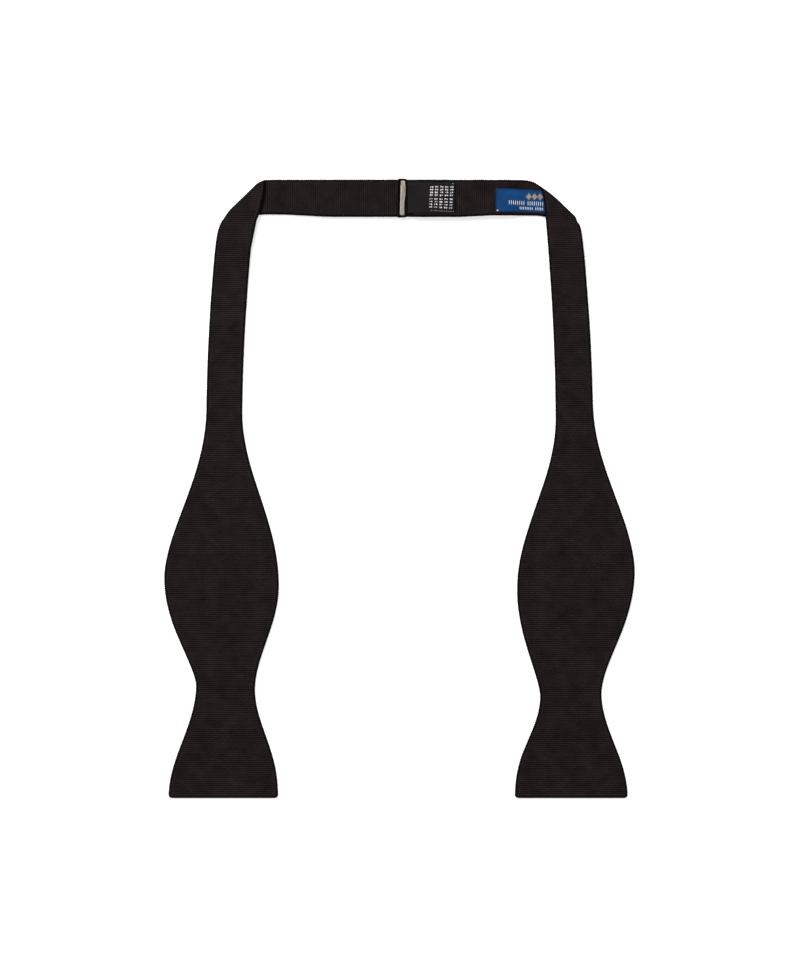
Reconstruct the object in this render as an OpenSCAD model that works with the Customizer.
// Self-tie bow tie of black ribbed silk, laid flat with the neckband folded over at two corners.
// Millimetres, +Z up. The tie lies in the XY plane on z = 0, with the neckband along X at the top
// and the two blades running down along Y. The origin is under the middle of the outline.

/* [Overall] */
// Width from blade edge to blade edge
total_w = 258.8; // [250:0.2:270]
// Length from the top of the adjuster slide to the blade ends
total_l = 341.4; // [335:0.2:350]

/* [Fabric] */
// Thickness of one silk panel
panel_t = 0.35; // [0.3:0.05:0.4]
// Thickness of the interlining between the panels
interlining_t = 0.5; // [0.4:0.05:0.6]
// Width of the seam allowance turned in along the edges
seam_w = 5; // [3:0.5:6]

/* [Neckband] */
// Width of the neckband
band_w = 20; // [19:0.1:20]
// Distance of each corner crease from the middle, on the neckband's centreline
corner_x = 84.5; // [82:0.5:87]
// Angle between a corner crease and the neckband
crease_angle = 44; // [40:1:48]
// Space left between the layers inside a corner fold
fold_gap = 0.6; // [0.5:0.1:0.8]
// How far the left strap leans in from its blade's centreline by the time it reaches the neckband
left_lean = 9.2; // [6:0.2:11]
// The same for the right strap
right_lean = 6.8; // [5:0.2:9]

/* [Blades] */
// Distance from the blade end to the narrow waist
waist_at = 57; // [52:1:62]
// Distance from the blade end to the widest line, where the bow folds
bulge_at = 118; // [112:1:124]
// Distance from the blade end to the start of the straight strap
strap_at = 216; // [205:1:225]
// Half width at the end, outer edge
end_outer = 30.1; // [27:0.1:33]
// Half width at the end, inner edge
end_inner = 29.8; // [27:0.1:33]
// Half width at the waist, outer edge
waist_outer = 15.5; // [13:0.1:18]
// Half width at the waist, inner edge
waist_inner = 17.1; // [14:0.1:19]
// Half width at the widest line, outer edge
bulge_outer = 32.8; // [30:0.1:36]
// Half width at the widest line, inner edge
bulge_inner = 29.9; // [27:0.1:33]
// Extra half width of the right blade
right_extra = 0.9; // [0:0.1:1.5]
// Radius of the corners at the blade end
end_r = 2; // [1:0.5:4]

/* [Adjuster slide] */
// Distance of the slide from the middle of the tie
slide_x = 1.6; // [-2:0.1:5]
// Length of the slide across the band
slide_l = 21.5; // [21.5:0.1:22.5]
// Width of the slide along the band
slide_w = 7.2; // [7:0.2:8]
// Width of each outer bar
bar_w = 1.2; // [1:0.1:1.3]
// Radius of the frame's corners
frame_r = 2.4; // [1.6:0.2:2.4]
// Width of the bright sleeve on the centre bar
sleeve_w = 2.6; // [2.4:0.1:2.8]
// Length of the bright sleeve
sleeve_l = 19.1; // [18:0.1:19.5]
// Length of the strap's tail beyond the slide
tail_l = 26; // [22:1:28]
// Length of the hem turned under at the end of the tail
hem_l = 7; // [5:1:8]
// Travel of the slide towards the left half
travel = 28; // [20:1:30]

/* [Labels] */
// Length of the care label along the band
care_l = 26.3; // [20:0.5:30]
// Width of the care label across the band
care_w = 16.5; // [14:0.5:17]
// Distance of the maker's label from the middle of the tie
maker_x = 53.1; // [50:0.5:56]
// Length of the maker's label, folded round the right corner with the band
maker_l = 42; // [40:1:46]
// Width of the maker's label across the band
maker_w = 13; // [12:0.2:14]
// Thickness of both labels
label_t = 0.2; // [0.15:0.05:0.25]

/* [Hidden] */

$fn = 48;
silk = "#211c1d";
canvas = "#cfc8b8";
satin = "#25211f";

// Clearance between two bodies that slide on each other
slip = 0.05;
// Clearance between fabric bodies that swing past each other
swing_gap = 0.3;
// A length that reaches past everything
far = 400;
// Straight facets in each slope and each curved stretch of an edge
slope_steps = 12;
edge_steps = 14;

cloth_t = 2 * panel_t + interlining_t;
end_y = -total_l / 2;
band_y = total_l / 2 - slide_l / 2;
left_x = -total_w / 2 + bulge_outer;
right_x = total_w / 2 - bulge_outer - right_extra;
// Each half as [centre of the blade on a left half, extra half width, lean of the strap]
left_side = [left_x, 0, left_lean];
right_side = [-right_x, right_extra, right_lean];

// Corner folds: the roll is centred on the hinge axis, at half the height of the stack
fold_lift = cloth_t + fold_gap;
fold_r = cloth_t + fold_gap / 2;

// Levels in the slide, from the surface up
frame_t = interlining_t;
strap_z = frame_t + slip;
sleeve_z = strap_z + cloth_t + slip;
sleeve_wall = 0.15;
crossbar_t = 0.4;
sleeve_t = crossbar_t + 2 * sleeve_wall;
right_lift = strap_z + cloth_t + 2 * slip;
rail_w = (slide_l - band_w) / 2 - slip;
bar_end_x = slide_x + slide_w / 2 + slip;
loop_x = slide_x + slide_w / 2 - bar_w + frame_t / 2;

// The care label starts close to the slide's edge, and both labels lie a little low on the band
care_x = slide_x + slide_w / 2 - 0.3;
care_shift = 0.2;
maker_y = band_y - 1.1;

// Threads of the tacks
tack_l = 1.2;
tack_w = 0.5;
tack_t = 0.15;

// Each rise is [start, end, height before, height after] of a gentle slope in the fabric
left_rise_end = slide_x - travel - 6;
right_rise_start = slide_x + tail_l + travel + 1.5;
strap_rise_end = band_y - band_w / 2 - 3;
left_rise = [left_rise_end - 30, left_rise_end, 0, strap_z];
right_rise = [right_rise_start, corner_x - band_w / 2 - 2, right_lift, 0];
strap_rise = [strap_rise_end - 42, strap_rise_end, 0, fold_lift];

function ease(t) = (1 - cos(180 * min(max(t, 0), 1))) / 2;
function mix(a, b, t) = a + (b - a) * ease(t);
function height(p, rise) = mix(rise[2], rise[3], (p - rise[0]) / (rise[1] - rise[0]));
function between(a, b, n) = [for (i = [0:n]) a + (b - a) * i / n];
function reversed(list) = [for (i = [len(list) - 1:-1:0]) list[i]];

// Half widths of a blade edge at the end, the waist, the widest line and the strap
function outer_edge(extra) =
    [end_outer + extra, waist_outer + extra, bulge_outer + extra, band_w / 2];
function inner_edge(extra) =
    [end_inner + extra, waist_inner + extra, bulge_inner + extra, band_w / 2];

// Loss of half width where the corner at the end is rounded
function corner_cut(s) = s < end_r ? end_r - sqrt(end_r ^ 2 - (end_r - s) ^ 2) : 0;
function curve(s, edge) =
    s < waist_at ? mix(edge[0], edge[1], s / waist_at) :
    s < bulge_at ? mix(edge[1], edge[2], (s - waist_at) / (bulge_at - waist_at)) :
    mix(edge[2], edge[3], (s - bulge_at) / (strap_at - bulge_at));
function half_width(s, edge) = curve(s, edge) - corner_cut(s);
function lean(s, amount) =
    amount * (max(s - strap_at, 0) / (band_y - end_y - strap_at)) ^ 2;

// Places along a blade where its outline has a point, between two distances from the end
function outline_steps(from, to) = [
    for (s = concat(
        [for (a = [0:15:75]) end_r * (1 - cos(a))],
        between(end_r, waist_at, edge_steps),
        between(waist_at, bulge_at, edge_steps),
        between(bulge_at, strap_at, edge_steps),
        between(strap_at, far, 30)
    )) if (s > from + 0.01 && s < to - 0.01) s
];

// Outline of a stretch of the left blade, its centreline on x = 0 and its end on y = end_y
module blade_stretch(from, to, side, inset) {
    extra = side[1];
    along = concat([from], outline_steps(from, to), [to]);
    middle = [for (s = along) lean(s, side[2])];
    outer = [
        for (i = [0:len(along) - 1])
            [middle[i] - half_width(along[i], outer_edge(extra)) + inset, end_y + along[i]]
    ];
    inner = [
        for (i = [0:len(along) - 1])
            [middle[i] + half_width(along[i], inner_edge(extra)) - inset, end_y + along[i]]
    ];
    polygon(concat(outer, reversed(inner)));
}

// Everything on the outer side of the left corner crease, in plan
module beyond_crease(gap) {
    translate([-corner_x, band_y])
        rotate(crease_angle)
            translate([-far / 2, -gap])
                square([far, far]);
}

// The blade between the widest line and the corner crease, in plan
module blade_plan(side, inset = 0) {
    difference() {
        translate([side[0], 0])
            blade_stretch(bulge_at + swing_gap / 2 + inset, total_l + band_w, side, inset);
        beyond_crease(fold_r + swing_gap + inset);
    }
}

// The part of the blade that folds back over it, from the widest line to the end, in plan
module tip_plan(side, inset = 0) {
    translate([side[0], 0])
        blade_stretch(inset, bulge_at - swing_gap / 2 - inset, side, inset);
}

// The left neckband in plan, from the corner crease to the end of the tail
module left_band_plan(inset = 0) {
    start = -corner_x - band_w;
    reach = slide_x + tail_l - inset;
    difference() {
        translate([start, band_y - band_w / 2 + inset])
            square([reach - start, band_w - 2 * inset]);
        beyond_crease(fold_r + swing_gap + inset);
    }
}

// The right neckband in plan, from one place along it to the corner crease
module right_band_plan(start, inset = 0) {
    difference() {
        translate([start, band_y - band_w / 2 + inset])
            square([corner_x + band_w - start, band_w - 2 * inset]);
        mirror([1, 0])
            beyond_crease(fold_r + swing_gap + inset);
    }
}

// What the turned edges of the right neckband leave free: the interlining, and the slide's bar
module right_band_inside() {
    right_band_plan(bar_end_x, seam_w);
    translate([bar_end_x - bar_w, band_y - band_w])
        square([bar_w, 2 * band_w]);
}

// Cross-section of a layer between two heights in fabric that follows a rise
module layer_section(rise, z0, z1) {
    along = concat([-far], between(rise[0], rise[1], slope_steps), [far]);
    lower = [for (p = along) [p, height(p, rise) + z0]];
    upper = [for (p = along) [p, height(p, rise) + z1]];
    polygon(concat(lower, reversed(upper)));
}

// A layer of fabric of the child's outline, which slopes along X or along Y
module layer(rise, z0, z1, along_y = false) {
    intersection() {
        translate([0, 0, -cloth_t])
            linear_extrude(10 * cloth_t)
                children();
        rotate([90, 0, along_y ? 90 : 0])
            linear_extrude(2 * far, center = true)
                layer_section(rise, z0, z1);
    }
}

// Lower silk panel: children are its outline and the line where its turned edge stops
module lower_panel(rise, along_y = false) {
    layer(rise, 0, panel_t, along_y) children(0);
    layer(rise, panel_t, cloth_t / 2, along_y)
        difference() {
            children(0);
            children(1);
        }
}

// Upper silk panel, the same the other way up
module upper_panel(rise, along_y = false) {
    layer(rise, cloth_t - panel_t, cloth_t, along_y) children(0);
    layer(rise, cloth_t / 2, cloth_t - panel_t, along_y)
        difference() {
            children(0);
            children(1);
        }
}

// Interlining that fills the space inside the turned edges
module inner_layer(rise, along_y = false) {
    layer(rise, panel_t, cloth_t - panel_t, along_y) children();
}

module left_band_front() {
    color(silk)
        lower_panel(left_rise) {
            left_band_plan();
            left_band_plan(seam_w);
        }
}

module left_band_interlining() {
    color(canvas)
        inner_layer(left_rise) left_band_plan(seam_w);
}

module left_band_back() {
    color(silk)
        upper_panel(left_rise) {
            left_band_plan();
            left_band_plan(seam_w);
        }
}

// Hem turned under at the end of the tail, which stops the slide from coming off
module left_tail_hem() {
    color(silk)
        translate([slide_x + tail_l - hem_l, band_y - band_w / 2, 0])
            cube([hem_l, band_w, strap_z]);
}

// The rolled fold of the band at the left corner, centred on the hinge axis
module left_corner_roll() {
    color(silk)
        intersection() {
            translate([-corner_x, band_y, fold_r])
                rotate([0, 90, crease_angle])
                    cylinder(r = fold_r, h = 3 * band_w, center = true);
            translate([-corner_x - far / 2, band_y - band_w / 2 - fold_r, -cloth_t])
                cube([far, band_w + fold_r, 10 * cloth_t]);
        }
}

module left_blade_front() {
    color(silk)
        upper_panel(strap_rise, true) {
            blade_plan(left_side);
            blade_plan(left_side, seam_w);
        }
}

module left_blade_interlining() {
    color(canvas)
        inner_layer(strap_rise, true) blade_plan(left_side, seam_w);
}

module left_blade_back() {
    color(silk)
        lower_panel(strap_rise, true) {
            blade_plan(left_side);
            blade_plan(left_side, seam_w);
        }
}

module left_tip_front() {
    color(silk)
        upper_panel(strap_rise, true) {
            tip_plan(left_side);
            tip_plan(left_side, seam_w);
        }
}

module left_tip_interlining() {
    color(canvas)
        inner_layer(strap_rise, true) tip_plan(left_side, seam_w);
}

module left_tip_back() {
    color(silk)
        lower_panel(strap_rise, true) {
            tip_plan(left_side);
            tip_plan(left_side, seam_w);
        }
}

module right_band_front() {
    color(silk)
        lower_panel(right_rise) {
            right_band_plan(loop_x);
            right_band_inside();
        }
}

module right_band_interlining() {
    color(canvas)
        inner_layer(right_rise) right_band_plan(bar_end_x, seam_w);
}

module right_band_back() {
    color(silk)
        upper_panel(right_rise) {
            right_band_plan(loop_x);
            right_band_inside();
        }
}

// The band's end, turned round the slide's right bar
module right_end_loop() {
    color(silk)
        translate([loop_x, band_y, right_lift + cloth_t / 2])
            rotate([90, 0, 0])
                linear_extrude(band_w, center = true)
                    difference() {
                        circle(cloth_t / 2);
                        circle(frame_t / 2);
                        translate([0, -cloth_t])
                            square(2 * cloth_t);
                    }
}

module right_corner_roll() {
    mirror([1, 0, 0]) left_corner_roll();
}

module right_blade_front() {
    color(silk)
        mirror([1, 0, 0])
            upper_panel(strap_rise, true) {
                blade_plan(right_side);
                blade_plan(right_side, seam_w);
            }
}

module right_blade_interlining() {
    color(canvas)
        mirror([1, 0, 0])
            inner_layer(strap_rise, true) blade_plan(right_side, seam_w);
}

module right_blade_back() {
    color(silk)
        mirror([1, 0, 0])
            lower_panel(strap_rise, true) {
                blade_plan(right_side);
                blade_plan(right_side, seam_w);
            }
}

module right_tip_front() {
    color(silk)
        mirror([1, 0, 0])
            upper_panel(strap_rise, true) {
                tip_plan(right_side);
                tip_plan(right_side, seam_w);
            }
}

module right_tip_interlining() {
    color(canvas)
        mirror([1, 0, 0])
            inner_layer(strap_rise, true) tip_plan(right_side, seam_w);
}

module right_tip_back() {
    color(silk)
        mirror([1, 0, 0])
            lower_panel(strap_rise, true) {
                tip_plan(right_side);
                tip_plan(right_side, seam_w);
            }
}

// Flat bar with round edges, its section centred on the origin and its length along Y
module round_bar(width, thickness) {
    rotate([90, 0, 0])
        linear_extrude(slide_l, center = true) {
            square([width - thickness, thickness], center = true);
            for (side = [-1, 1])
                translate([side * (width - thickness) / 2, 0])
                    circle(thickness / 2);
        }
}

// Side view of the frame's end rails, which step up from the left bar to the right bar
module rail_section() {
    half = slide_w / 2;
    step = half - bar_w - 2 * slip;
    mid = sleeve_z + sleeve_wall;
    top = right_lift + panel_t;
    lower = [[-half, 0], [-step, 0], [-bar_w, mid], [bar_w, mid], [step, top], [half, top]];
    upper = [for (p = lower) [p[0], p[1] + crossbar_t]];
    polygon(concat(lower, reversed(upper)));
}

// Plan of the frame with rounded corners
module frame_plan() {
    square([slide_w - 2 * frame_r, slide_l], center = true);
    square([slide_w, slide_l - 2 * frame_r], center = true);
    for (x = [-1, 1], y = [-1, 1])
        translate([x * (slide_w / 2 - frame_r), y * (slide_l / 2 - frame_r)])
            circle(frame_r);
}

// Black three-bar frame: the strap runs over the left bar and under the other two
module slide_frame() {
    bar_x = (slide_w - bar_w) / 2;
    color("#141414")
        translate([slide_x, band_y, 0])
            intersection() {
                union() {
                    translate([-bar_x, 0, frame_t / 2])
                        round_bar(bar_w, frame_t);
                    translate([0, 0, sleeve_z + sleeve_wall + crossbar_t / 2])
                        cube([sleeve_w - 4 * sleeve_wall, slide_l, crossbar_t], center = true);
                    translate([bar_x, 0, right_lift + cloth_t / 2])
                        round_bar(bar_w, frame_t);
                    for (side = [-1, 1])
                        translate([0, side * (slide_l - rail_w) / 2, 0])
                            rotate([90, 0, 0])
                                linear_extrude(rail_w, center = true)
                                    rail_section();
                }
                linear_extrude(2 * right_lift) frame_plan();
            }
}

// Bright metal sleeve closed round the centre bar
module slide_sleeve() {
    color("#aaa69d")
        translate([slide_x, band_y, sleeve_z + sleeve_t / 2])
            difference() {
                cube([sleeve_w, sleeve_l, sleeve_t], center = true);
                translate([0, 0, sleeve_wall + (crossbar_t - sleeve_t) / 2])
                    cube([sleeve_w - 4 * sleeve_wall, far, crossbar_t], center = true);
            }
}

// Smooth black care label over the stitched end of the loop
module care_label() {
    color(satin)
        translate([care_x, band_y - care_w / 2 - care_shift, right_lift + cloth_t])
            cube([care_l, care_w, label_t]);
}

// Thread that holds the care label's corner
module care_label_tack() {
    color("#8e8a86")
        translate([
            care_x + care_l - tack_l - 2 * tack_w,
            band_y + care_w / 2 - care_shift - tack_w,
            right_lift + cloth_t + label_t
        ])
            cube([tack_l, tack_w, tack_t]);
}

// The maker's label in plan, along the straight line of the band
module maker_plan() {
    translate([maker_x, maker_y - maker_w / 2])
        square([maker_l, maker_w]);
}

// Woven label up to the corner crease
module maker_label() {
    color("#1d4a80")
        layer(right_rise, cloth_t, cloth_t + label_t)
            difference() {
                maker_plan();
                mirror([1, 0])
                    beyond_crease(fold_r + swing_gap);
            }
}

// The rest of the woven label, carried round the crease to the underside of the strap
module maker_label_end() {
    color("#1d4a80")
        translate([0, 0, fold_lift - label_t])
            linear_extrude(label_t)
                intersection() {
                    mirror([1, 0])
                        blade_plan(right_side);
                    translate([corner_x, band_y])
                        rotate(-crease_angle)
                            mirror([0, 1])
                                rotate(crease_angle)
                                    translate([-corner_x, -band_y])
                                        maker_plan();
                }
}

// Stitch that holds the lower corner of the maker's label
module maker_label_tack() {
    color("#d8d8d4")
        layer(right_rise, cloth_t + label_t, cloth_t + label_t + tack_t)
            translate([maker_x + tack_w, maker_y - maker_w / 2 + tack_w])
                square([tack_l, tack_w]);
}

left_band_front();
left_band_interlining();
left_band_back();
left_tail_hem();
left_corner_roll();
left_blade_front();
left_blade_interlining();
left_blade_back();
left_tip_front();
left_tip_interlining();
left_tip_back();
right_band_front();
right_band_interlining();
right_band_back();
right_end_loop();
right_corner_roll();
right_blade_front();
right_blade_interlining();
right_blade_back();
right_tip_front();
right_tip_interlining();
right_tip_back();
slide_frame();
slide_sleeve();
care_label();
care_label_tack();
maker_label();
maker_label_end();
maker_label_tack();
